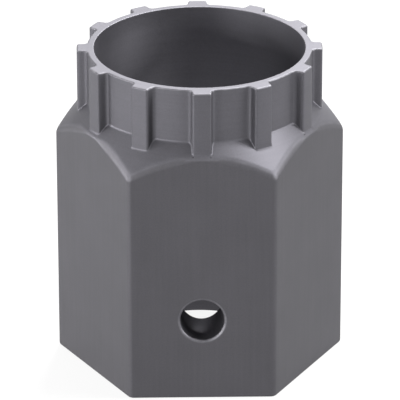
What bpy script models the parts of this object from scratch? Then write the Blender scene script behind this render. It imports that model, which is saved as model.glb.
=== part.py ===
"""Cassette lockring tool: one piece of hexagon steel bar, turned, milled and bored.

The base stands on z = 0 with the tool's axis along +Z. A flat of the hexagon, the one with
the cross hole, faces -Y. The splined crown that fits the lockring is at the top.
"""

from math import atan2, cos, hypot, pi, radians, sin, sqrt, tan

import bmesh
import bpy
from mathutils import Matrix, Vector

# Overall height and the hexagon bar
TOTAL_HEIGHT = 0.0314
TIP_LEDGE = 0.0003           # how far a flat of the hexagon stands outside the teeth's tips
CORNER_ROUNDING = 0.0006     # radius of the bar's six long corners
BASE_EDGE_BREAK = 0.00025

# Splined crown, which turns the lockring
SPLINE_COUNT = 12
SPLINE_TIP_DIAMETER = 0.0234
SPLINE_LENGTH = 0.0053       # from the rim down to where a groove's floor meets the shoulder
TOOTH_HEIGHT = 0.00095
TOOTH_WIDTH = 0.00175        # across one tooth at its tip
FLANK_ANGLE = radians(7)     # how far each flank leans out towards the root
TIP_ROUNDING = 0.0002
ROOT_FILLET = 0.0004
RIM_EDGE_BREAK = 0.00015

# Turned shoulder between the crown and the flats
SHOULDER_ANGLE = radians(45)

# Bore: wide under the crown, narrower in the body
RIM_WALL = 0.0007            # between the upper bore and the grooves' floors
UPPER_BORE_DEPTH = 0.0160
LOWER_BORE_DIAMETER = 0.0144
STEP_CHAMFER = 0.0006        # where the upper bore's floor meets the lower bore
MOUTH_CHAMFER = 0.0001       # at both open ends

# Cross hole through the front flat into the lower bore
CROSS_HOLE_DIAMETER = 0.00415
CROSS_HOLE_HEIGHT = 0.0082
COUNTERSINK = 0.0002

# Facets, and how far a cutter runs past the face that it cuts
TURNED_STEPS = 72
HOLE_STEPS = 24
CORNER_SEGMENTS = 4
OVERRUN = 0.001

# Sizes that follow
TIP_RADIUS = SPLINE_TIP_DIAMETER / 2
ROOT_RADIUS = TIP_RADIUS - TOOTH_HEIGHT
UPPER_BORE_RADIUS = ROOT_RADIUS - RIM_WALL
LOWER_BORE_RADIUS = LOWER_BORE_DIAMETER / 2
HALF_ACROSS_FLATS = TIP_RADIUS + TIP_LEDGE
HEX_CORNER_RADIUS = HALF_ACROSS_FLATS / cos(pi / 6)
GROOVE_END_HEIGHT = TOTAL_HEIGHT - SPLINE_LENGTH


def shoulder_height(radius):
    """Height of the turned cone at a radius; it passes through the lower end of the grooves."""
    return GROOVE_END_HEIGHT + (ROOT_RADIUS - radius) / tan(SHOULDER_ANGLE)


# Scene, collections and material
def clear_scene():
    for old in list(bpy.data.objects):
        bpy.data.objects.remove(old, do_unlink=True)


def new_collection(name):
    collection = bpy.data.collections.new(name)
    bpy.context.scene.collection.children.link(collection)
    return collection


def link_as_cutter(body, collection):
    """Puts a shape that only cuts or joins another into the cutters, drawn as wire."""
    collection.objects.link(body)
    body.hide_render = True
    body.display_type = 'WIRE'
    return body


def steel_material():
    material = bpy.data.materials.new("oxide_grey_steel")
    material.use_nodes = True
    shader = material.node_tree.nodes["Principled BSDF"]
    shader.inputs["Base Color"].default_value = (0.17, 0.17, 0.185, 1.0)
    shader.inputs["Metallic"].default_value = 0.85
    shader.inputs["Roughness"].default_value = 0.45
    material.diffuse_color = (0.17, 0.17, 0.185, 1.0)
    return material


# Shapes made the usual ways
def turned_solid(name, profile, steps):
    """A solid turned about its own Z from (radius, height) points that run top to bottom."""
    mesh = bpy.data.meshes.new(name)
    points = [(radius, 0.0, height) for radius, height in profile]
    edges = [(i, i + 1) for i in range(len(points) - 1)]
    mesh.from_pydata(points, edges, [])
    body = bpy.data.objects.new(name, mesh)
    screw = body.modifiers.new("Turn", 'SCREW')
    screw.axis = 'Z'
    screw.angle = 2 * pi
    screw.steps = steps
    screw.render_steps = steps
    screw.use_merge_vertices = True
    screw.merge_threshold = 0.000001
    screw.use_smooth_shade = True
    return body


def extruded_outline(name, outline, bottom, top):
    """A flat 2D curve given a thickness between two heights, made a mesh so that it can be joined."""
    curve = bpy.data.curves.new(name, 'CURVE')
    curve.dimensions = '2D'
    curve.fill_mode = 'BOTH'
    curve.extrude = (top - bottom) / 2
    spline = curve.splines.new('POLY')
    spline.points.add(len(outline) - 1)
    for point, (x, y) in zip(spline.points, outline):
        point.co = (x, y, 0.0, 1.0)
    spline.use_cyclic_u = True
    drawn = bpy.data.objects.new(name + "_curve", curve)
    bpy.context.scene.collection.objects.link(drawn)
    evaluated = drawn.evaluated_get(bpy.context.evaluated_depsgraph_get())
    mesh = bpy.data.meshes.new_from_object(evaluated)
    bpy.data.objects.remove(drawn)
    mesh.name = name
    weld = bmesh.new()
    weld.from_mesh(mesh)
    bmesh.ops.remove_doubles(weld, verts=weld.verts, dist=0.000001)
    weld.to_mesh(mesh)
    weld.free()
    body = bpy.data.objects.new(name, mesh)
    body.location.z = (top + bottom) / 2
    return body


def break_edges(body, width, segments):
    """Bevels the edges round the two ends, and leaves the rounded outline between them alone."""
    bevel = body.modifiers.new("Edge break", 'BEVEL')
    bevel.limit_method = 'ANGLE'
    bevel.angle_limit = radians(60)
    bevel.width = width
    bevel.segments = segments


# Hexagon bar
def hexagon_bar():
    bar = bmesh.new()
    bmesh.ops.create_cone(
        bar, cap_ends=True, segments=6,
        radius1=HEX_CORNER_RADIUS, radius2=HEX_CORNER_RADIUS, depth=TOTAL_HEIGHT,
        matrix=Matrix.Translation((0.0, 0.0, TOTAL_HEIGHT / 2)) @ Matrix.Rotation(pi / 6, 4, 'Z'))
    upright = [edge for edge in bar.edges
               if abs(edge.verts[0].co.z - edge.verts[1].co.z) > TOTAL_HEIGHT / 2]
    bmesh.ops.bevel(
        bar, geom=upright, affect='EDGES', offset_type='OFFSET',
        offset=CORNER_ROUNDING * tan(pi / 6), segments=CORNER_SEGMENTS, profile=0.5)
    mesh = bpy.data.meshes.new("lockring_tool")
    bar.to_mesh(mesh)
    bar.free()
    return bpy.data.objects.new("lockring_tool", mesh)


# Turned blank that the bar is cut back to
def turned_shoulder():
    outside = HEX_CORNER_RADIUS + OVERRUN
    return turned_solid("shoulder_turning", [
        (0.0, shoulder_height(UPPER_BORE_RADIUS)),
        (UPPER_BORE_RADIUS, shoulder_height(UPPER_BORE_RADIUS)),
        (outside, shoulder_height(outside)),
        (outside, -OVERRUN),
        (0.0, -OVERRUN),
    ], TURNED_STEPS)


# Splined crown
def circle_on_flank(offset, radius):
    """Centre of a circle lying off a flank by offset and at a radius from the tool's axis."""
    down = Vector((sin(FLANK_ANGLE), -cos(FLANK_ANGLE)))
    out = Vector((cos(FLANK_ANGLE), sin(FLANK_ANGLE)))
    start = Vector((TOOTH_WIDTH / 2, TIP_RADIUS)) + out * offset
    half = start.dot(down)
    step = -half - sqrt(half * half - start.length_squared + radius * radius)
    return start + down * step


def arc(centre, radius, start, end, steps):
    """Points on an arc between two directions, both ends included."""
    angles = [start + (end - start) * i / steps for i in range(steps + 1)]
    return [(centre[0] + radius * cos(a), centre[1] + radius * sin(a)) for a in angles]


def half_tooth():
    """From the middle of a tooth's tip to the middle of the groove, for a tooth that points to +Y."""
    half_pitch = pi / SPLINE_COUNT
    tip = circle_on_flank(-TIP_ROUNDING, TIP_RADIUS - TIP_ROUNDING)
    root = circle_on_flank(ROOT_FILLET, ROOT_RADIUS + ROOT_FILLET)
    tip_corner = arc(tip, TIP_ROUNDING, atan2(tip.y, tip.x), FLANK_ANGLE, 2)
    root_fillet = arc(root, ROOT_FILLET, FLANK_ANGLE + pi, atan2(root.y, root.x) + pi, 4)
    groove_start = atan2(root_fillet[-1][1], root_fillet[-1][0])
    groove_floor = arc((0.0, 0.0), ROOT_RADIUS, groove_start, pi / 2 - half_pitch, 3)
    return [(0.0, TIP_RADIUS)] + tip_corner + root_fillet + groove_floor[1:]


def crown_outline():
    """The whole crown seen from above: each tooth with the groove on either side of it."""
    right = half_tooth()
    left = [(-x, y) for x, y in right[1:-1]]
    tooth = list(reversed(left)) + right
    outline = []
    for i in range(SPLINE_COUNT):
        turn = Matrix.Rotation(-2 * pi * i / SPLINE_COUNT, 2)
        outline += [tuple(turn @ Vector(point)) for point in tooth]
    return outline


def splined_crown():
    sunk = shoulder_height(TIP_RADIUS) - OVERRUN
    crown = extruded_outline("splined_crown", crown_outline(), sunk, TOTAL_HEIGHT)
    break_edges(crown, RIM_EDGE_BREAK, 1)
    return crown


# Bore and cross hole
def bore_cutter():
    step = TOTAL_HEIGHT - UPPER_BORE_DEPTH
    return turned_solid("bore_cutter", [
        (0.0, TOTAL_HEIGHT + OVERRUN),
        (UPPER_BORE_RADIUS + MOUTH_CHAMFER + OVERRUN, TOTAL_HEIGHT + OVERRUN),
        (UPPER_BORE_RADIUS, TOTAL_HEIGHT - MOUTH_CHAMFER),
        (UPPER_BORE_RADIUS, step),
        (LOWER_BORE_RADIUS + STEP_CHAMFER, step),
        (LOWER_BORE_RADIUS, step - STEP_CHAMFER),
        (LOWER_BORE_RADIUS, MOUTH_CHAMFER),
        (LOWER_BORE_RADIUS + MOUTH_CHAMFER + OVERRUN, -OVERRUN),
        (0.0, -OVERRUN),
    ], TURNED_STEPS)


def cross_hole_cutter():
    """Made standing on its point inside the bore, then laid down to point out of the front flat."""
    radius = CROSS_HOLE_DIAMETER / 2
    inner_end = LOWER_BORE_RADIUS / 2
    cutter = turned_solid("cross_hole_cutter", [
        (0.0, HALF_ACROSS_FLATS + OVERRUN),
        (radius + COUNTERSINK + OVERRUN, HALF_ACROSS_FLATS + OVERRUN),
        (radius, HALF_ACROSS_FLATS - COUNTERSINK),
        (radius, inner_end),
        (0.0, inner_end),
    ], HOLE_STEPS)
    cutter.location.z = CROSS_HOLE_HEIGHT
    cutter.rotation_euler.x = pi / 2
    return cutter


# The tool itself
def add_boolean(body, operation, other):
    boolean = body.modifiers.new(other.name, 'BOOLEAN')
    boolean.operation = operation
    boolean.solver = 'EXACT'
    boolean.object = other


def apply_modifiers(body):
    """Turns the modifier stack into plain geometry, so that shading can follow the real edges."""
    bpy.context.view_layer.update()
    evaluated = body.evaluated_get(bpy.context.evaluated_depsgraph_get())
    finished = bpy.data.meshes.new_from_object(evaluated)
    body.modifiers.clear()
    body.data = finished
    finished.name = body.name


def build():
    clear_scene()
    parts = new_collection("cassette_lockring_tool")
    cutters = new_collection("cutters")

    tool = hexagon_bar()
    parts.objects.link(tool)
    tool.data.materials.append(steel_material())
    break_edges(tool, BASE_EDGE_BREAK, 2)
    add_boolean(tool, 'INTERSECT', link_as_cutter(turned_shoulder(), cutters))
    add_boolean(tool, 'UNION', link_as_cutter(splined_crown(), cutters))
    add_boolean(tool, 'DIFFERENCE', link_as_cutter(bore_cutter(), cutters))
    add_boolean(tool, 'DIFFERENCE', link_as_cutter(cross_hole_cutter(), cutters))

    apply_modifiers(tool)
    tool.data.shade_smooth()
    tool.data.set_sharp_from_angle(angle=radians(30))


build()
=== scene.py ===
# %% [markdown]
# # A splined lockring tool in grey steel
# The object is a cassette lockring tool: one solid piece of hexagon steel bar. A lathe turns the
# 45 degree shoulder, the crown and the stepped bore, a mill cuts the twelve splines, and a drill
# makes the cross hole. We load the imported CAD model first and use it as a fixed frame, because
# whatever we model here has to sit exactly where its solid does.

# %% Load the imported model
from math import atan2, cos, degrees, hypot, pi, radians, sin, sqrt, tan

import bmesh
import bpy
from mathutils import Matrix, Vector


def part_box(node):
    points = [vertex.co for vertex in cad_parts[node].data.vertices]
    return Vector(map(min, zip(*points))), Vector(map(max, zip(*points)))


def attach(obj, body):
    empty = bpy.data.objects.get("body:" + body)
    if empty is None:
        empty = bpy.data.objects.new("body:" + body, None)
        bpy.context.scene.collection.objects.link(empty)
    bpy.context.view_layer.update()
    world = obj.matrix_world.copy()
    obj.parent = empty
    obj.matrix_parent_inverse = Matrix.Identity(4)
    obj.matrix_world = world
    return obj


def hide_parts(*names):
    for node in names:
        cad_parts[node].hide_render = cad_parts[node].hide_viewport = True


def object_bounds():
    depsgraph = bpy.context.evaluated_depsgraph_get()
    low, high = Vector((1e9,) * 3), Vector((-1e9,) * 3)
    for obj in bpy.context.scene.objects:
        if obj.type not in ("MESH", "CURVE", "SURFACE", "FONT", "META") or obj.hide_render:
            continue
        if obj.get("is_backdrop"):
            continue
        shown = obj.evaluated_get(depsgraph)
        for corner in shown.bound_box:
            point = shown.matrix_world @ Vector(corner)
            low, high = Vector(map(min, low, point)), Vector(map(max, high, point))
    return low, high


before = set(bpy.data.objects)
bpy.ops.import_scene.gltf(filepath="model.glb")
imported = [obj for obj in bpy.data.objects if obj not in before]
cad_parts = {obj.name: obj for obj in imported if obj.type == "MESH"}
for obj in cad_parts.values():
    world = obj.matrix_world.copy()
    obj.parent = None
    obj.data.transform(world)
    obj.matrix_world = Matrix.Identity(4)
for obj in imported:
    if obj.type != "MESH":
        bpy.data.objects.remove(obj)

# The loaded nodes stay selected, and an operator acts on all that is selected.
bpy.ops.object.select_all(action="DESELECT")
cad_box = [list(corner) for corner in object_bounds()]
print("CAD nodes:", sorted(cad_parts))
print("CAD box in mm:", [[round(value * 1000, 2) for value in corner] for corner in cad_box])

# %% [markdown]
# ## The sizes that drive the tool
# Blender works in metres, so we write every size in millimetres times `MM`. They are the sizes
# the solid was built from. The height is read from the frame, so the piece can't drift from it.
# The last three roundings are small ones that every real edge has: a tenth to half a millimetre
# is enough to catch the light, and that is what makes an edge look like metal. The solid has a
# plain chamfer on the rim and leaves the other two edges sharp, as it needs few faces.

# %% Sizes in metres
MM = 0.001
# Two points that are closer than this are taken as one.
TOUCH = 0.001 * MM
TOTAL_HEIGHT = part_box("lockring_tool")[1].z
FLATS = 6
HALF_FLATS = 12.0 * MM
CORNER_ROUNDING = 0.6 * MM
BASE_BREAK = 0.25 * MM
SPLINES = 12
SPLINE_LENGTH = 5.3 * MM
TIP_RADIUS = 11.7 * MM
FLOOR_RADIUS = 10.75 * MM
TOOTH_WIDTH = 1.75 * MM
FLANK_LEAN = radians(7)
TIP_ROUNDING = 0.2 * MM
ROOT_FILLET = 0.4 * MM
UPPER_BORE = 10.05 * MM
LOWER_BORE = 7.2 * MM
STEP_HEIGHT = TOTAL_HEIGHT - 16.0 * MM
STEP_CHAMFER = 0.6 * MM
RIM_ROUNDING = 0.15 * MM
FOOT_FILLET = 0.12 * MM
SHOULDER_ROUNDING = 0.5 * MM
# The crown's grooves end here, and the shoulder's cone starts here.
SHOULDER_LEVEL = TOTAL_HEIGHT - SPLINE_LENGTH
print("grooves end", round(SHOULDER_LEVEL / MM, 2), "mm above the base")

# %% [markdown]
# ## Drawing outlines
# A spline crown could be cut with Booleans, but they leave slivers and uneven faces that spoil
# the shine of a metal. We draw outlines instead and skin them, which gives even four-sided
# faces. An outline starts as a plane merged to one point. Extruding the point draws a straight
# line, and spinning it draws an arc. We draw only half a tooth, mirror it, and let a spin with
# `dupli` repeat it round the axis, because what repeats should be modelled once.

# %% The drawing tools
def start_line(x, y, z):
    """A single point to draw on from."""
    bpy.ops.object.select_all(action="DESELECT")
    bpy.ops.mesh.primitive_plane_add(size=MM, location=(x, y, z))
    bpy.ops.object.transform_apply()
    bpy.ops.object.mode_set(mode="EDIT")
    bpy.ops.mesh.select_mode(type="VERT")
    bpy.ops.mesh.select_all(action="SELECT")
    bpy.ops.mesh.merge(type="CENTER")


def draw_straight(step, columns):
    """Extrudes the last point along step, in equal lengths."""
    for _ in range(columns):
        move = (step[0] / columns, step[1] / columns, 0)
        bpy.ops.mesh.extrude_region_move(TRANSFORM_OT_translate={"value": move})


def draw_arc(centre, turn, columns):
    """Spins the last point about centre. A spin counts clockwise, so turn is negated."""
    bpy.ops.mesh.spin(steps=columns, angle=-turn, center=(centre[0], centre[1], 0), axis=(0, 0, 1))


def repeat_round(times):
    """Mirrors the drawn half, repeats it round the axis and closes the outline."""
    bpy.ops.mesh.select_all(action="SELECT")
    bpy.ops.mesh.duplicate()
    bpy.ops.transform.resize(value=(-1, 1, 1), center_override=(0, 0, 0))
    bpy.ops.mesh.select_all(action="SELECT")
    bpy.ops.mesh.remove_doubles(threshold=TOUCH)
    bpy.ops.mesh.select_all(action="SELECT")
    bpy.ops.mesh.spin(steps=times, dupli=True, angle=2 * pi, center=(0, 0, 0), axis=(0, 0, 1))
    bpy.ops.mesh.select_all(action="SELECT")
    bpy.ops.mesh.remove_doubles(threshold=TOUCH)
    bpy.ops.object.mode_set(mode="OBJECT")
    return bpy.context.object


# %% [markdown]
# ## Half a tooth
# The milled tooth has a straight, slightly leaning flank. A small circle rounds its tip and a
# larger one fills its root, and both have to touch the flank without a kink. So we look for the
# circle whose centre lies a set distance beside the flank and also a set distance from the axis.
# `grow` draws the same outline a little larger or smaller. Because only the radii change and
# the centres stay, every such outline is truly parallel to the first.

# %% Outline of the crown
ALONG = Vector((sin(FLANK_LEAN), -cos(FLANK_LEAN)))
OUTWARD = Vector((cos(FLANK_LEAN), sin(FLANK_LEAN)))


def centre_beside_flank(beside, radius):
    """The point at a distance beside the flank's line and at a radius from the axis."""
    start = Vector((TOOTH_WIDTH / 2, TIP_RADIUS)) + OUTWARD * beside
    half = start.dot(ALONG)
    return start - ALONG * (half + sqrt(half * half - start.length_squared + radius * radius))


TIP_CENTRE = centre_beside_flank(-TIP_ROUNDING, TIP_RADIUS - TIP_ROUNDING)
ROOT_CENTRE = centre_beside_flank(ROOT_FILLET, FLOOR_RADIUS + ROOT_FILLET)
TIP_ANGLE = atan2(TIP_CENTRE.y, TIP_CENTRE.x)
ROOT_ANGLE = atan2(ROOT_CENTRE.y, ROOT_CENTRE.x)
FLANK_STEP = ROOT_CENTRE - TIP_CENTRE - OUTWARD * (TIP_ROUNDING + ROOT_FILLET)
# Each outline below has the same number of points, so that they can be skinned one to one.
TIP_COLUMNS, ROUNDING_COLUMNS, FLANK_COLUMNS, FILLET_COLUMNS, FLOOR_COLUMNS = 6, 4, 2, 6, 8
print("straight flank in mm:", round(FLANK_STEP.length / MM, 3))


def crown_outline(grow, height):
    """The twelve splines' outline, grown outwards by grow."""
    start_line(0, TIP_RADIUS + grow, height)
    draw_arc((0, 0), TIP_ANGLE - pi / 2, TIP_COLUMNS)
    draw_arc(TIP_CENTRE, FLANK_LEAN - TIP_ANGLE, ROUNDING_COLUMNS)
    draw_straight(FLANK_STEP, FLANK_COLUMNS)
    draw_arc(ROOT_CENTRE, ROOT_ANGLE - FLANK_LEAN, FILLET_COLUMNS)
    draw_arc((0, 0), pi / 2 - pi / SPLINES - ROOT_ANGLE, FLOOR_COLUMNS)
    return repeat_round(SPLINES)


# %% [markdown]
# ## Foot and rim of the crown
# The cutter leaves a tiny fillet where the splines run into the shoulder, and the top edge has
# been broken by hand. A Bevel could round both, but at a tooth's corner its new edges slide past
# each other. A stack of parallel outlines can't do that: each one is grown and raised by the sine
# and cosine of a quarter circle.

# %% Outlines from the foot to the rim
FOOT_STEPS, RIM_STEPS = 4, 3
outlines = []
for step in range(FOOT_STEPS + 1):
    turn = pi / 2 * (1 - step / FOOT_STEPS)
    grow, rise = FOOT_FILLET * (1 - cos(turn)), FOOT_FILLET * (1 - sin(turn))
    outlines.append(crown_outline(grow, SHOULDER_LEVEL + rise))
for step in range(RIM_STEPS + 1):
    turn = pi / 2 * step / RIM_STEPS
    grow, drop = -RIM_ROUNDING * (1 - cos(turn)), RIM_ROUNDING * (1 - sin(turn))
    outlines.append(crown_outline(grow, TOTAL_HEIGHT - drop))
print(len(outlines), "crown outlines of", len(outlines[0].data.vertices), "points each")

# %% [markdown]
# ## Outlines of the bar and the bore
# The bar's outline is a hexagon with rounded corners and the bore's is a circle. Both get as
# many points as the crown. On the bar they are spaced so that the faces between the two fan
# out from the flanks of a tooth and never cross it. Both are drawn a millimetre off their level:
# a bridge between two loops that share one centre can't tell which way round they run.

# %% Outlines of the bar and the bore
LIFT = 1.0 * MM
SIDE_COLUMNS = ROUNDING_COLUMNS + FLANK_COLUMNS + FILLET_COLUMNS
CORNER_COLUMNS = 4
pitch = 2 * pi / SPLINES
flat_end = (HALF_FLATS - CORNER_ROUNDING) * tan(pi / FLATS)
# A tooth's tip and its foot end at these angles from its middle.
tip_turn, side_turn = radians(5.3), radians(10.5)
stops = [0, *(HALF_FLATS * tan(turn) for turn in
              (tip_turn, side_turn, pitch - side_turn, pitch - tip_turn)), flat_end]
columns = [TIP_COLUMNS, SIDE_COLUMNS, 2 * FLOOR_COLUMNS, SIDE_COLUMNS,
           TIP_COLUMNS - CORNER_COLUMNS]
start_line(0, HALF_FLATS, SHOULDER_LEVEL - LIFT)
for near, far, count in zip(stops, stops[1:], columns):
    draw_straight((far - near, 0), count)
draw_arc((flat_end, HALF_FLATS - CORNER_ROUNDING), -pi / FLATS, CORNER_COLUMNS)
outlines.append(repeat_round(FLATS))
foot_turn = pi / 2 - ROOT_ANGLE
start_line(0, UPPER_BORE, TOTAL_HEIGHT + LIFT)
draw_arc((0, 0), -foot_turn, TIP_COLUMNS + SIDE_COLUMNS)
draw_arc((0, 0), foot_turn - pi / SPLINES, FLOOR_COLUMNS)
outlines.append(repeat_round(SPLINES))
print("points in the bar's and the bore's outline:", [len(o.data.vertices) for o in outlines[-2:]])

# %% [markdown]
# ## Skinning the outlines
# We join the outlines into one mesh and bridge them in pairs. For the moment the shoulder is a
# flat ledge, because flat parts are easy to select and to bevel; it becomes a cone later. Edges
# are picked by where they lie, as you would pick loops by eye: `pick` takes a test and selects
# the edges that pass it.

# %% Helpers that pick edges by place
def pick(test):
    """Selects the edges of the mesh in edit mode that pass the test, and nothing else."""
    bpy.ops.mesh.select_mode(type="EDGE")
    bpy.ops.mesh.select_all(action="DESELECT")
    mesh = bpy.context.object.data
    edit = bmesh.from_edit_mesh(mesh)
    edit.normal_update()
    chosen = [edge for edge in edit.edges if test(edge)]
    for edge in chosen:
        edge.select = True
    edit.select_flush_mode()
    bmesh.update_edit_mesh(mesh)
    return len(chosen)


def radius_of(point):
    """The distance of a point from the tool's axis."""
    return hypot(point.x, point.y)


def level(edge, height):
    """Whether an edge lies at a height."""
    return all(abs(vertex.co.z - height) < TOUCH for vertex in edge.verts)


def ring(edge, height, low, high):
    """Whether an edge lies at a height and between two radii."""
    low, high = low - 2 * TOUCH, high + 2 * TOUCH
    return level(edge, height) and all(low < radius_of(v.co) < high for v in edge.verts)


def move_up(distance):
    """Moves what is selected along Z."""
    bpy.ops.transform.translate(value=(0, 0, distance))


# %% [markdown]
# Now the bands go in from the foot of the crown upwards, each between two neighbouring heights.
# The bar's and the bore's loops are bridged while they are off their level, then moved onto it.

# %% Bridge the crown, the shoulder and the rim
bpy.ops.object.select_all(action="DESELECT")
for outline in outlines:
    outline.select_set(True)
bpy.context.view_layer.objects.active = outlines[0]
bpy.ops.object.join()
tool = bpy.context.object
tool.name = tool.data.name = "splined_tool"
bpy.ops.object.mode_set(mode="EDIT")
FAR = 2 * HALF_FLATS
heights = sorted({round(vertex.co.z, 7) for vertex in tool.data.vertices})
crown_heights = heights[1:-1]
for low, high in zip(crown_heights, crown_heights[1:]):
    pick(lambda edge: ring(edge, low, 0, FAR) or ring(edge, high, 0, FAR))
    bpy.ops.mesh.bridge_edge_loops()
pick(lambda edge: level(edge, SHOULDER_LEVEL - LIFT) or level(edge, SHOULDER_LEVEL))
bpy.ops.mesh.bridge_edge_loops()
pick(lambda edge: level(edge, SHOULDER_LEVEL - LIFT))
move_up(LIFT)
pick(lambda edge: level(edge, TOTAL_HEIGHT) or level(edge, TOTAL_HEIGHT + LIFT))
bpy.ops.mesh.bridge_edge_loops()
pick(lambda edge: level(edge, TOTAL_HEIGHT + LIFT))
move_up(-LIFT)
print("skinned", len(crown_heights) + 1, "bands")

# %% [markdown]
# ## Bore, flats and base
# The bore's loop is extruded down through its stages: the wide bore, the flat seat at the step,
# a chamfer and the narrow bore. The bar's loop is extruded to the base, and the last bridge
# closes the bottom face. Then the mesh is watertight, which we check by counting edges that
# don't have exactly two faces.

# %% Extrude the bore and the bar and close the base
def extrude_down(distance, ratio=1.0):
    """Extrudes the selected loop down, then scales it about the axis."""
    bpy.ops.mesh.extrude_region_move(TRANSFORM_OT_translate={"value": (0, 0, -distance)})
    bpy.ops.transform.resize(value=(ratio, ratio, 1), center_override=(0, 0, 0))


pick(lambda edge: ring(edge, TOTAL_HEIGHT, UPPER_BORE, UPPER_BORE))
extrude_down(TOTAL_HEIGHT - STEP_HEIGHT)
extrude_down(0, (LOWER_BORE + STEP_CHAMFER) / UPPER_BORE)
extrude_down(STEP_CHAMFER, LOWER_BORE / (LOWER_BORE + STEP_CHAMFER))
extrude_down(STEP_HEIGHT - STEP_CHAMFER + LIFT)
pick(lambda edge: ring(edge, SHOULDER_LEVEL, HALF_FLATS, FAR) and len(edge.link_faces) == 1)
extrude_down(SHOULDER_LEVEL)
pick(lambda edge: level(edge, 0) or level(edge, -LIFT))
bpy.ops.mesh.bridge_edge_loops()
pick(lambda edge: level(edge, -LIFT))
move_up(LIFT)
bpy.ops.mesh.select_all(action="SELECT")
bpy.ops.mesh.normals_make_consistent(inside=False)
edit = bmesh.from_edit_mesh(tool.data)
open_edges = sum(len(edge.link_faces) != 2 for edge in edit.edges)
print("open edges:", open_edges, " faces:", len(edit.faces))

# %% [markdown]
# ## Breaking the simple edges
# The base's outer edge and the bore's two mouths are plain loops, so here the Bevel tool works
# well. A real base is broken a little more than a bore, which only loses its burr.

# %% Bevel the base and the mouths of the bore
def round_edges(offset, segments, test):
    """Bevels the edges that pass the test."""
    count = pick(test)
    bpy.ops.mesh.bevel(offset=offset, segments=segments, affect="EDGES", clamp_overlap=False)
    print("rounded", count, "edges by", round(offset / MM, 2), "mm")


SMALL_BREAK = 0.1 * MM
round_edges(BASE_BREAK, 4, lambda edge: ring(edge, 0, HALF_FLATS, FAR))
round_edges(SMALL_BREAK, 2, lambda edge: ring(edge, 0, LOWER_BORE, LOWER_BORE))
round_edges(SMALL_BREAK, 2, lambda edge: ring(edge, TOTAL_HEIGHT, UPPER_BORE, UPPER_BORE))

# %% [markdown]
# ## The soft edge of the shoulder
# The shoulder's edge is softer than the others, about half a millimetre on each side. In front of
# the middle of a flat the tooth leaves it a third of that, so one even bevel would run into the
# tooth. The Bevel modifier can follow: it takes its width from the weight of each edge, and
# `transform.edge_bevelweight` sets those.

# %% Round the shoulder's edge by weight
FLAT_TO_FLAT = 360 / FLATS
# The border is a right angle, and the other edges at this height lie between level faces.
CORNER_ANGLE = radians(57)


def from_flat_middle(edge):
    """The turn in degrees between an edge and the middle of the nearest flat."""
    middle = (edge.verts[0].co + edge.verts[1].co) / 2
    turn = degrees(atan2(middle.x, middle.y)) % FLAT_TO_FLAT
    return min(turn, FLAT_TO_FLAT - turn)


def on_shoulder(edge):
    """Whether an edge lies on the border between the ledge and the bar."""
    return ring(edge, SHOULDER_LEVEL, HALF_FLATS, FAR) and edge.calc_face_angle(0) > CORNER_ANGLE


# Degrees from the middle of a flat, and the share of the rounding between each two of them.
turn_bounds = (0, 4.5, 6, 7.5, 9, 11, 31)
weights = (0.32, 0.4, 0.55, 0.7, 0.85, 1.0)
for near, far, weight in zip(turn_bounds, turn_bounds[1:], weights):
    count = pick(lambda edge: on_shoulder(edge) and near <= from_flat_middle(edge) < far)
    bpy.ops.transform.edge_bevelweight(value=weight)
    print("weight", weight, "on", count, "edges")
bpy.ops.object.mode_set(mode="OBJECT")
soft = tool.modifiers.new("soft_shoulder", "BEVEL")
soft.limit_method = "WEIGHT"
soft.width = SHOULDER_ROUNDING
soft.segments = 6
soft.use_clamp_overlap = False
bpy.ops.object.modifier_apply(modifier=soft.name)
bpy.ops.object.mode_set(mode="EDIT")

# %% [markdown]
# The ledge is still one wide band of faces. It has to bend into a cone, and a band can only bend
# where it has edges, so it is subdivided into rings. Only the flat band is picked, by its normal.

# %% Cut the ledge into rings
LEDGE_CUTS = 5
# A face that looks straight along an axis has this much of its normal there.
SQUARE = 0.999
pick(lambda edge: level(edge, SHOULDER_LEVEL)
     and all(face.normal.z > SQUARE for face in edge.link_faces))
bpy.ops.mesh.subdivide(number_cuts=LEDGE_CUTS)
bpy.ops.object.mode_set(mode="OBJECT")
print("faces now:", len(tool.data.polygons))

# %% [markdown]
# ## The cross hole
# A plain drilled hole through one flat into the bore. Its sharp edge has been taken off, which
# leaves a soft lip, wider than it is deep. This one is a Boolean, since it cuts across the grid.
# Its cutter is drawn as half of its section and spun, so drill and lip are one form. The lip is
# a row of short slopes that get steeper towards the hole; the shading makes them one curve.

# %% Shape the drill
HOLE_RADIUS = 2.075 * MM
HOLE_HEIGHT = 8.2 * MM
HOLE_STEPS = 96
# Each slope of the lip: how far it goes inwards, and how far it goes into the steel.
LIP = [(0.12 * MM, 0.02 * MM), (0.10 * MM, 0.05 * MM),
       (0.06 * MM, 0.07 * MM), (0.02 * MM, 0.08 * MM)]
LIP_WIDTH = sum(inwards for inwards, down in LIP)
# The first slope is carried on at the same angle outside the steel, so that the cut is clean.
OVERRUN = 6
ABOVE = OVERRUN * LIP[0][0], OVERRUN * LIP[0][1]
start_line(0, -HALF_FLATS - ABOVE[1], HOLE_HEIGHT)
drill = bpy.context.object
first = (-ABOVE[0] - LIP[0][0], ABOVE[1] + LIP[0][1])
slopes = [first, *((-inwards, down) for inwards, down in LIP[1:])]
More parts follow.
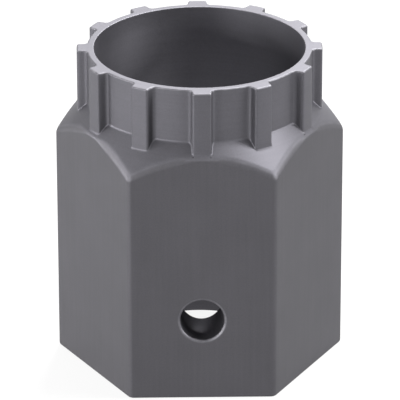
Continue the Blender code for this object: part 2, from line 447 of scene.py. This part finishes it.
# Then come the drill's straight side, which reaches into the bore, and its flat end.
wall = [(0, SMALL_BREAK), (0, HALF_FLATS / 2), (-HOLE_RADIUS, 0)]
for across, along in ((HOLE_RADIUS + LIP_WIDTH + ABOVE[0], 0), *slopes, *wall):
    bpy.ops.mesh.extrude_region_move(TRANSFORM_OT_translate={"value": (across, along, 0)})
bpy.ops.mesh.select_all(action="SELECT")
bpy.ops.mesh.spin(steps=HOLE_STEPS, angle=2 * pi, center=(0, 0, HOLE_HEIGHT), axis=(0, 1, 0))
bpy.ops.mesh.select_all(action="SELECT")
bpy.ops.mesh.remove_doubles(threshold=TOUCH)
bpy.ops.mesh.normals_make_consistent(inside=False)
bpy.ops.object.mode_set(mode="OBJECT")
print("drill with its lip:", round(2 * (HOLE_RADIUS + LIP_WIDTH) / MM, 2), "mm across")

# %% [markdown]
# Extruding makes faces in an order that changes from run to run. That is harmless until a merge
# has to choose between two points, as it then follows the order. So we first put the edges and
# faces of both meshes in the order of their points, and every run gives the same tool.

# %% Put both meshes in order
def settle_order(thing):
    """Sorts a mesh's edges and faces by the numbers of their first three points."""
    edit = bmesh.new()
    edit.from_mesh(thing.data)
    count = len(edit.verts)

    def order(element):
        key = 0
        for number in sorted(vertex.index for vertex in element.verts)[:3]:
            key = key * count + number
        return key

    edit.edges.sort(key=order)
    edit.faces.sort(key=order)
    edit.to_mesh(thing.data)
    edit.free()


for thing in (tool, drill):
    settle_order(thing)
    print(thing.name, "in order:", len(thing.data.vertices), "points")

# %% [markdown]
# The exact solver is slower than the fast one but leaves no gaps. It can leave pairs of points
# a thousandth of a millimetre apart, where the cut just misses an edge, so doubles are merged.

# %% Drill the hole
def from_hole(point):
    """The distance of a point from the cross hole's axis."""
    return hypot(point.x, point.z - HOLE_HEIGHT)


def only(thing):
    """Makes one object the selected and the active one."""
    bpy.ops.object.select_all(action="DESELECT")
    thing.select_set(True)
    bpy.context.view_layer.objects.active = thing


only(tool)
cut = tool.modifiers.new("cross_hole", "BOOLEAN")
cut.operation = "DIFFERENCE"
cut.solver = "EXACT"
cut.object = drill
bpy.ops.object.modifier_apply(modifier=cut.name)
bpy.data.objects.remove(drill)
bpy.ops.object.mode_set(mode="EDIT")
bpy.ops.mesh.select_all(action="SELECT")
bpy.ops.mesh.remove_doubles(threshold=2 * TOUCH)
bpy.ops.object.mode_set(mode="OBJECT")
print("faces with the hole:", len(tool.data.polygons))

# %% [markdown]
# ## Which faces are plain
# Later the shading has to know the plain faces from the roundings between them. That is easiest
# to tell while the ledge is still flat: a plain face looks straight up, straight down or level.
# We select them now, and the selection stays with the mesh until it is needed.

# %% Select the plain faces
only(tool)
bpy.ops.object.mode_set(mode="EDIT")
bpy.ops.mesh.select_mode(type="FACE")
bpy.ops.mesh.select_all(action="DESELECT")
edit = bmesh.from_edit_mesh(tool.data)
edit.normal_update()
for face in edit.faces:
    middle = face.calc_center_median()
    drilled = middle.y < 0 and from_hole(middle) < HOLE_RADIUS + LIP_WIDTH
    # The flat round the hole has its middle there too, but it looks straight forwards.
    drilled = drilled and abs(face.normal.y) < 0.9999
    upright, flat = abs(face.normal.z) < 1 - SQUARE, abs(face.normal.z) > SQUARE
    face.select = not drilled and (upright or flat)
print("plain faces:", sum(face.select for face in edit.faces), "of", len(edit.faces))
bmesh.update_edit_mesh(tool.data)
bpy.ops.object.mode_set(mode="OBJECT")

# %% [markdown]
# ## Pulling the ledge into a cone
# The lathe leaves a 45 degree cone, and where a cone meets the flats its edge becomes an arch.
# Sculpting that arch by hand would never be exact. A Displace modifier is: its texture is a
# spherical blend, which falls off evenly with the distance from the axis, so every point of the
# ledge sinks by as much as it lies outwards. An empty holds the texture; it is stretched along
# Z, so height plays no part.

# %% Displace the ledge into a cone
lowest, highest = SHOULDER_LEVEL - SHOULDER_ROUNDING - TOUCH, SHOULDER_LEVEL + FOOT_FILLET + TOUCH
ledge = [vertex.index for vertex in tool.data.vertices
         if lowest < vertex.co.z < highest and radius_of(vertex.co) > FLOOR_RADIUS - TOUCH]
tool.vertex_groups.new(name="ledge").add(ledge, 1, "REPLACE")
# The blend falls from 1 at the axis to 0 at this radius.
REACH = 20 * MM
NO_EFFECT = 1000
bpy.ops.object.empty_add()
pole = bpy.context.object
pole.scale = (REACH, REACH, NO_EFFECT)
fall_off = bpy.data.textures.new("fall_off", "BLEND")
fall_off.progression = "SPHERICAL"
only(tool)
cone = tool.modifiers.new("cone", "DISPLACE")
cone.texture = fall_off
cone.texture_coords = "OBJECT"
cone.texture_coords_object = pole
cone.direction = "Z"
cone.vertex_group = "ledge"
cone.strength = REACH
cone.mid_level = 1 - FLOOR_RADIUS / REACH
bpy.context.view_layer.update()
bpy.ops.object.modifier_apply(modifier=cone.name)
bpy.data.objects.remove(pole)
tool.vertex_groups.clear()
print("points in the cone:", len(ledge))

# %% [markdown]
# ## Clean shading
# Smooth shading alone would bulge the flats, because each point would average a flat with the
# rounding beside it. The plain faces that we selected give their own normals to their corners
# instead, and the roundings blend between them. This is what a weighted normal does in other
# programs, but here we decide which faces lead.

# %% Smooth the roundings and keep the flats flat
SHARPEST_ROUNDING = radians(35)
bpy.ops.object.shade_smooth_by_angle(angle=SHARPEST_ROUNDING)
bpy.ops.object.mode_set(mode="EDIT")
bpy.ops.mesh.set_normals_from_faces(keep_sharp=True)
bpy.ops.object.mode_set(mode="OBJECT")
box = [tuple(round(value / MM, 3) for value in corner) for corner in tool.bound_box]
print("tool's box in mm:", box[0], box[6])

# %% [markdown]
# ## Telling the drawn flats from the machined surfaces
# The six flats are still the skin of the drawn bar. The crown, the shoulder, the bore and the hole
# were cut, and the same finish comes out paler on them. The outer edges and the hole's lip are
# different again: a phosphate skin is thin, and a wrench or a pin rubs it off there first. A
# second material could give the paler areas a hard border, but the real one runs through the
# edge's rounding. So we write both into the mesh as attributes, which a single material reads
# and which stay with it. First we need to know where a point lies.

# %% Where a point lies
# The first and last points of a rounding belong to the faces beside it.
BORDER = 0.01 * MM


def across_flats(point):
    """The distance from the axis, measured square to the nearest flat."""
    return max(abs(point.x * cos(turn) + point.y * sin(turn)) for turn in (pi / 2, pi / 6, -pi / 6))


def below_cone(point):
    """How far a point lies under the cone of the shoulder, carried on past its edge."""
    return SHOULDER_LEVEL + FLOOR_RADIUS - radius_of(point) - point.z


def in_lip(point):
    """Whether a point lies on the slopes of the cross hole's lip, its two borders left out."""
    across = from_hole(point) - HOLE_RADIUS
    return point.y < -HALF_FLATS + HOLE_RADIUS and BORDER < across < LIP_WIDTH - BORDER


print("the cone ends", round((SHOULDER_LEVEL + FLOOR_RADIUS - HALF_FLATS) / MM, 2),
      "mm up, over the middle of a flat")

# %% [markdown]
# A point is machined if it lies on the cone, inside the flats or in the lip. It is worn if it
# lies on the rim's rounding, in the lip or on the shoulder's edge. That edge is wide and soft,
# so it gets less wear than the others, and the wear fades out on both sides of its middle.

# %% Write both shares into the mesh
# How far inside the flats, and how far under the cone, the drawn skin reaches at an edge.
SKIN_DEPTH, CONE_DEPTH = 0.15 * MM, 0.1 * MM
RIM_BAND = 0.8 * RIM_ROUNDING
# The middle of the shoulder's rounding under the cone, and how far its wear spreads from there.
WEAR_MIDDLE, WEAR_SPREAD, SHOULDER_WEAR = 0.08 * MM, 0.07 * MM, 0.4


def machined_share(point):
    """1 on a surface that was cut and 0 on the skin of the drawn bar."""
    inside = across_flats(point) < HALF_FLATS - SKIN_DEPTH
    return float(below_cone(point) < CONE_DEPTH or inside or in_lip(point))


def edge_share(point):
    """1 in the middle of an outer rounding, falling to 0 on the faces beside it."""
    if radius_of(point) < FLOOR_RADIUS - RIM_BAND:
        return 0.0
    on_rim = TOTAL_HEIGHT - RIM_BAND < point.z < TOTAL_HEIGHT - BORDER
    on_shoulder_edge = 1 - abs(below_cone(point) - WEAR_MIDDLE) / WEAR_SPREAD
    return max(float(on_rim or in_lip(point)), SHOULDER_WEAR * on_shoulder_edge)


for name, share_of in (("machined", machined_share), ("worn_edge", edge_share)):
    marked = tool.data.attributes.new(name=name, type="FLOAT", domain="POINT")
    for vertex in tool.data.vertices:
        marked.data[vertex.index].value = share_of(vertex.co)
    print(name, "points:", sum(entry.value > 0 for entry in marked.data), "of", len(marked.data))

# %% [markdown]
# ## Grey phosphated steel
# The real surface is bar steel with a grey phosphate skin: fine crystals that scatter light and
# hide the bright metal, so the tool looks satin grey and a little cool, never like a mirror. We
# could paint it as plain grey plastic, but then the shoulder wouldn't flare where it turns to
# the light. So it stays a metal in the shader, with a dark base colour and a middle roughness.
# Four patterns give it life: crystal grain, soft clouds where the skin is thicker, the marks of
# the tools that made it, and worn edges.

# %% Colours and the node helper
DRAWN_GREY = "#504f53"
CUT_GREY = "#57565b"
BARE_STEEL = "#8f8e92"
STEEL_ROUGHNESS = 0.53


def linear(hex_colour):
    """An sRGB hex colour as the linear values that Blender's shaders use."""
    channels = (int(hex_colour[i:i + 2], 16) / 255 for i in (1, 3, 5))
    return (*(c / 12.92 if c <= 0.04045 else ((c + 0.055) / 1.055) ** 2.4 for c in channels), 1.0)


def add_node(tree, kind, settings=None, links=None, **inputs):
    """Adds a node with its settings, its input values and the sockets that feed it."""
    node = tree.nodes.new(kind)
    for name, value in (settings or {}).items():
        setattr(node, name, value)
    for name, value in inputs.items():
        node.inputs[name.replace("_", " ")].default_value = value
    for name, socket in (links or {}).items():
        tree.links.new(socket, node.inputs[name])
    return node


print("base colour of the drawn skin:", [round(c, 3) for c in linear(DRAWN_GREY)[:3]])

# %% [markdown]
# ### Where things lie on the piece
# A procedural pattern needs coordinates. Object coordinates are metres on the piece itself, so
# a noise scale of one over a real size gives that size. The two attributes come in beside them.

# %% Start the finish: where things lie on the piece
finish = bpy.data.materials.new("grey_phosphated_steel")
finish.use_nodes = True
tree = finish.node_tree
tree.nodes.clear()
place = add_node(tree, "ShaderNodeTexCoord").outputs["Object"]
machined = add_node(tree, "ShaderNodeAttribute", {"attribute_name": "machined"}).outputs["Fac"]
worn_edge = add_node(tree, "ShaderNodeAttribute", {"attribute_name": "worn_edge"}).outputs["Fac"]
print("the finish reads", place.name, "coordinates and two attributes")

# %% [markdown]
# ### Crystals and clouds
# Phosphate crystals are about 0.02 mm across, far less than a pixel here. They are drawn eight
# times coarser, or the picture couldn't show that the surface is matt and not painted. The bath
# also works unevenly, which leaves soft clouds a few millimetres wide.

# %% Crystal grain and bath clouds
GRAIN_SIZE = 0.16 * MM
CLOUD_SIZE = 4.0 * MM
grain = add_node(tree, "ShaderNodeTexNoise", links={"Vector": place},
                 Scale=1 / GRAIN_SIZE, Detail=3.0, Roughness=0.6).outputs["Fac"]
clouds = add_node(tree, "ShaderNodeTexNoise", links={"Vector": place},
                  Scale=1 / CLOUD_SIZE, Detail=4.0, Roughness=0.6).outputs["Fac"]
print("noise scales of grain and clouds:", round(1 / GRAIN_SIZE), round(1 / CLOUD_SIZE))

# %% [markdown]
# ### Draw lines and turning rings
# Under the crystals the older marks still show faintly. The die has drawn the bar lengthwise, so
# its flats carry fine upright lines: a noise that a Mapping node stretches along Z. The lathe
# has left rings on all it cut. For those we read the noise at the distance from the axis and the
# height only, and then it can't change round the axis. The real feed was about 0.1 mm; the rings
# are drawn at 0.3 mm, so that a close look finds them.

# %% Two sets of tool marks, and the one that belongs here
MARK_SPACING = 0.3 * MM
DRAWN_OUT = 0.03
stretched = add_node(tree, "ShaderNodeMapping", links={"Vector": place}, Scale=(1, 1, DRAWN_OUT))
draw_lines = add_node(tree, "ShaderNodeTexNoise", links={"Vector": stretched.outputs["Vector"]},
                      Scale=1 / MARK_SPACING, Detail=2.0, Roughness=0.5)
flattened = add_node(tree, "ShaderNodeMapping", links={"Vector": place}, Scale=(1, 1, 0))
from_axis = add_node(tree, "ShaderNodeVectorMath", {"operation": "LENGTH"},
                     {"Vector": flattened.outputs["Vector"]})
parts = add_node(tree, "ShaderNodeSeparateXYZ", links={"Vector": place})
profile = add_node(tree, "ShaderNodeCombineXYZ", links={"X": from_axis.outputs["Value"],
                                                        "Z": parts.outputs["Z"]})
rings = add_node(tree, "ShaderNodeTexNoise", links={"Vector": profile.outputs["Vector"]},
                 Scale=1 / MARK_SPACING, Detail=2.0, Roughness=0.5)
marks = add_node(tree, "ShaderNodeMix", {"data_type": "FLOAT"}, {"Factor": machined})
tree.links.new(draw_lines.outputs["Fac"], marks.inputs["A"])
tree.links.new(rings.outputs["Fac"], marks.inputs["B"])
print("lines and rings about every", round(MARK_SPACING / MM, 2), "mm")

# %% [markdown]
# ### The colour
# One colour is written for the drawn skin and a paler one for the cut surfaces. Grain, clouds and
# marks only make them a little lighter or darker, so each gets its share of a factor near one.

# %% Base colour, shaded by the three patterns
skin = add_node(tree, "ShaderNodeMixRGB", links={"Fac": machined},
                Color1=linear(DRAWN_GREY), Color2=linear(CUT_GREY))
shade = skin.outputs["Color"]
for pattern, swing in ((grain, 0.09), (clouds, 0.04), (marks.outputs["Result"], 0.03)):
    factor = add_node(tree, "ShaderNodeMapRange", links={"Value": pattern},
                      From_Min=0.3, From_Max=0.7, To_Min=1 - swing, To_Max=1 + swing)
    shade = add_node(tree, "ShaderNodeVectorMath", {"operation": "SCALE"},
                     {"Vector": shade, "Scale": factor.outputs["Result"]}).outputs["Vector"]
print("nodes so far:", len(tree.nodes))

# %% [markdown]
# ### Rubbed edges
# Handling leaves a broken line and not an even one, so the edge attribute is multiplied by
# patches about a millimetre long. It stays faint, as this tool looks hardly used.

# %% A faint broken line of paler steel on the outer edges
PATCH_SIZE = 0.9 * MM
patches = add_node(tree, "ShaderNodeTexNoise", links={"Vector": place},
                   Scale=1 / PATCH_SIZE, Detail=3.0, Roughness=0.6)
rub = add_node(tree, "ShaderNodeMapRange", links={"Value": patches.outputs["Fac"]},
               From_Min=0.35, From_Max=0.65, To_Min=0.05, To_Max=0.3)
rubbed = add_node(tree, "ShaderNodeMapRange",
                  links={"Value": worn_edge, "To Max": rub.outputs["Result"]})
colour = add_node(tree, "ShaderNodeMixRGB", Color2=linear(BARE_STEEL),
                  links={"Fac": rubbed.outputs["Result"], "Color1": shade})
print("wear in patches of", round(PATCH_SIZE / MM, 1), "mm")

# %% [markdown]
# ### Shine and relief
# Roughness rises and falls a little with the crystals. The relief is real but tiny: a hundredth
# of a millimetre from the crystals, half of that from the marks. It could be left out at this
# size, but in a close look it breaks up the highlight on the shoulder as real crystals do.
# Metallic is 0.9 and not 1: bare metal would be 1, and the skin on it is not quite a metal.

# %% Roughness, relief and the shader itself
SWING = 0.04
roughness = add_node(tree, "ShaderNodeMapRange", links={"Value": grain}, From_Min=0.3, From_Max=0.7,
                     To_Min=STEEL_ROUGHNESS - SWING, To_Max=STEEL_ROUGHNESS + SWING)
mark_relief = add_node(tree, "ShaderNodeBump", links={"Height": marks.outputs["Result"]},
                       Strength=0.1, Distance=0.005 * MM)
relief = add_node(tree, "ShaderNodeBump", Strength=0.15, Distance=0.01 * MM,
                  links={"Height": grain, "Normal": mark_relief.outputs["Normal"]})
steel = add_node(tree, "ShaderNodeBsdfPrincipled", links={
    "Base Color": colour.outputs["Color"], "Roughness": roughness.outputs["Result"],
    "Normal": relief.outputs["Normal"]}, Metallic=0.9)
add_node(tree, "ShaderNodeOutputMaterial", links={"Surface": steel.outputs["BSDF"]})
tool.data.materials.clear()
tool.data.materials.append(finish)
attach(tool, "root")
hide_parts("lockring_tool")
print("finish:", finish.name, "with", len(tree.nodes), "nodes")

# %% [markdown]
# ## The floor
# The tool stands on white paper, which runs on into a white wall. Making the paper look pure
# white with light alone would need so much light that the steel would burn out. So the paper
# stays an ordinary matt white that takes the tool's shadow, and for camera, mirror and
# transmission rays a share of plain white glow is mixed in. The steel then reflects it as it
# looks, and the light that reaches the steel stays at a plain level. The room needs the same
# test, so it is a function of its own.

# %% A test for what is seen directly
def seen_directly(tree):
    """1 for rays from the camera, off a mirror or through glass, and 0 for light that scatters."""
    rays = add_node(tree, "ShaderNodeLightPath")
    seen = rays.outputs["Is Camera Ray"]
    for kind in ("Is Glossy Ray", "Is Transmission Ray"):
        either = add_node(tree, "ShaderNodeMath", {"operation": "MAXIMUM"})
        tree.links.new(seen, either.inputs[0])
        tree.links.new(rays.outputs[kind], either.inputs[1])
        seen = either.outputs["Value"]
    return seen


# %% [markdown]
# The sheet lies a hundredth of a millimetre under the tool, so that the two faces don't flicker.
# It keeps a tenth of its matt white in the picture, and that tenth is what shows the shadow.

# %% White paper
PAPER_WHITE = "#f4f4f4"
FLOOR_GLOW = 0.9
PAPER_SIZE, PAPER_DROP = 3.0, 0.01 * MM
bpy.ops.mesh.primitive_plane_add(size=PAPER_SIZE, location=(0, 0, -PAPER_DROP))
floor = bpy.context.object
floor.name = "paper_floor"
bpy.ops.object.transform_apply()
floor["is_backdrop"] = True
paper = bpy.data.materials.new("white_paper")
paper.use_nodes = True
tree = paper.node_tree
tree.nodes.clear()
share = add_node(tree, "ShaderNodeMapRange", links={"Value": seen_directly(tree)},
                 To_Max=FLOOR_GLOW)
matt = add_node(tree, "ShaderNodeBsdfDiffuse", Color=linear(PAPER_WHITE))
glow = add_node(tree, "ShaderNodeEmission", Color=(1, 1, 1, 1), Strength=1.0)
mixed = add_node(tree, "ShaderNodeMixShader", links={"Fac": share.outputs["Result"]})
tree.links.new(matt.outputs["BSDF"], mixed.inputs[1])
tree.links.new(glow.outputs["Emission"], mixed.inputs[2])
add_node(tree, "ShaderNodeOutputMaterial", links={"Surface": mixed.outputs["Shader"]})
floor.data.materials.append(paper)
print("floor:", [round(side, 2) for side in floor.dimensions], "m")

# %% [markdown]
# ## The room
# The wall and the ceiling are the world. The same trick works here: rays that look at it, from
# the camera or off the steel, see plain white. For light that scatters it is much weaker, so
# that the lamps still cast a soft shadow on the paper.

# %% White room
ROOM_LEVEL = 0.4
room = bpy.data.worlds.new("white_room")
bpy.context.scene.world = room
room.use_nodes = True
tree = room.node_tree
tree.nodes.clear()
strength = add_node(tree, "ShaderNodeMapRange", links={"Value": seen_directly(tree)},
                    To_Min=ROOM_LEVEL, To_Max=1.0)
background = add_node(tree, "ShaderNodeBackground", Color=(1, 1, 1, 1),
                      links={"Strength": strength.outputs["Result"]})
add_node(tree, "ShaderNodeOutputWorld", links={"Surface": background.outputs["Background"]})
print("the room scatters", ROOM_LEVEL, "of the white that it shows")

# %% [markdown]
# ## Studio lamps
# Metal shows its shape by what it reflects, so each lamp has a surface to look after. Two low
# boxes on the left and one on the right make the side flats paler than the front one. A high
# box on the right gives the bright patch on the shoulder. One behind turns the crown's top
# white, and one above it reaches down the bore and into the cross hole. The last is a large
# weak one that fills the left. Three even lamps would be simpler, but then the front flat
# would be as pale as the others. All but the two weak ones are small, so that the highlights
# keep an edge.

# %% Soft boxes
LAMP_DISTANCE = 0.6
LAMP_AIM = Vector((0, 0, 0.6 * TOTAL_HEIGHT))


def soft_box(name, azimuth, elevation, size, watts):
    """A square area lamp that looks at the tool. Azimuth 0 is the right side and -90 the front."""
    turn, rise = radians(azimuth), radians(elevation)
    away = Vector((cos(turn) * cos(rise), sin(turn) * cos(rise), sin(rise)))
    lamp = bpy.data.lights.new(name, "AREA")
    lamp.size, lamp.energy = size, watts
    box = bpy.data.objects.new(name, lamp)
    box.location = LAMP_AIM + away * LAMP_DISTANCE
    box.rotation_euler = (-away).to_track_quat("-Z", "Y").to_euler()
    bpy.context.scene.collection.objects.link(box)
    return box


# Each box's name, azimuth and elevation in degrees, side in metres, and power in watts.
for name, azimuth, elevation, size, watts in (
        ("key_box", 0, 55, 0.1, 3.6),
        ("right_box", -14, 16, 0.15, 2.7),
        ("back_box", 74, 48, 0.15, 5.3),
        ("over_box", 90, 62, 0.4, 1.6),
        ("left_box", 180, 4, 0.15, 2.7),
        ("left_front_box", -135, 4, 0.15, 2.6),
        ("left_high_box", -172, 30, 0.4, 0.7)):
    box = soft_box(name, azimuth, elevation, size, watts)
    print(box.name, [round(value, 2) for value in box.location])

# %% [markdown]
# ## Camera
# The picture is taken with a long lens from a little above: the uprights stay nearly parallel,
# and we look into the bore. We could turn a camera by eye until it looks right. It is more
# exact to measure edges in the picture, and to solve for the camera that puts the model's
# edges there. The numbers below come from that: two angles, a distance, the lens, and the
# small roll of a camera that was held nearly level.

# %% Camera
# The lens and the sensor's width are in millimetres, as Blender has them, and the rest in metres.
LENS, SENSOR = 388.7, 36
DISTANCE = 0.4173
AIM = Vector((0.02 * MM, 0, 15.34 * MM))
side, rise, roll = radians(-1.046), radians(24.41), radians(-0.09)
lens = bpy.data.cameras.new("photo_camera")
lens.lens, lens.sensor_width = LENS, SENSOR
lens.clip_start, lens.clip_end = 0.01, 20
camera = bpy.data.objects.new("photo_camera", lens)
bpy.context.scene.collection.objects.link(camera)
bpy.context.scene.camera = camera
away = Vector((sin(side) * cos(rise), -cos(side) * cos(rise), sin(rise)))
upright = (-away).to_track_quat("-Z", "Y").to_matrix()
camera.location = AIM + away * DISTANCE
camera.rotation_euler = (upright @ Matrix.Rotation(roll, 3, "Z")).to_euler()
bpy.context.scene.view_settings.view_transform = "Standard"
print("camera at", [round(value, 3) for value in camera.location])

# %% [markdown]
# ## Printing both boxes
# Roundings and bevels only take steel away, so the finished piece has to fill the box of the
# imported model. Across the corners it may stand out by a hundredth of a millimetre, as the
# imported model's roundings are flat facets inside the true curve. We print both boxes.

# %% Print both boxes
visual_box = [list(corner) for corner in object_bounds()]
for name, corners in (("CAD", cad_box), ("visual", visual_box)):
    print(name, "box in mm:", [[round(value / MM, 3) for value in corner] for corner in corners])
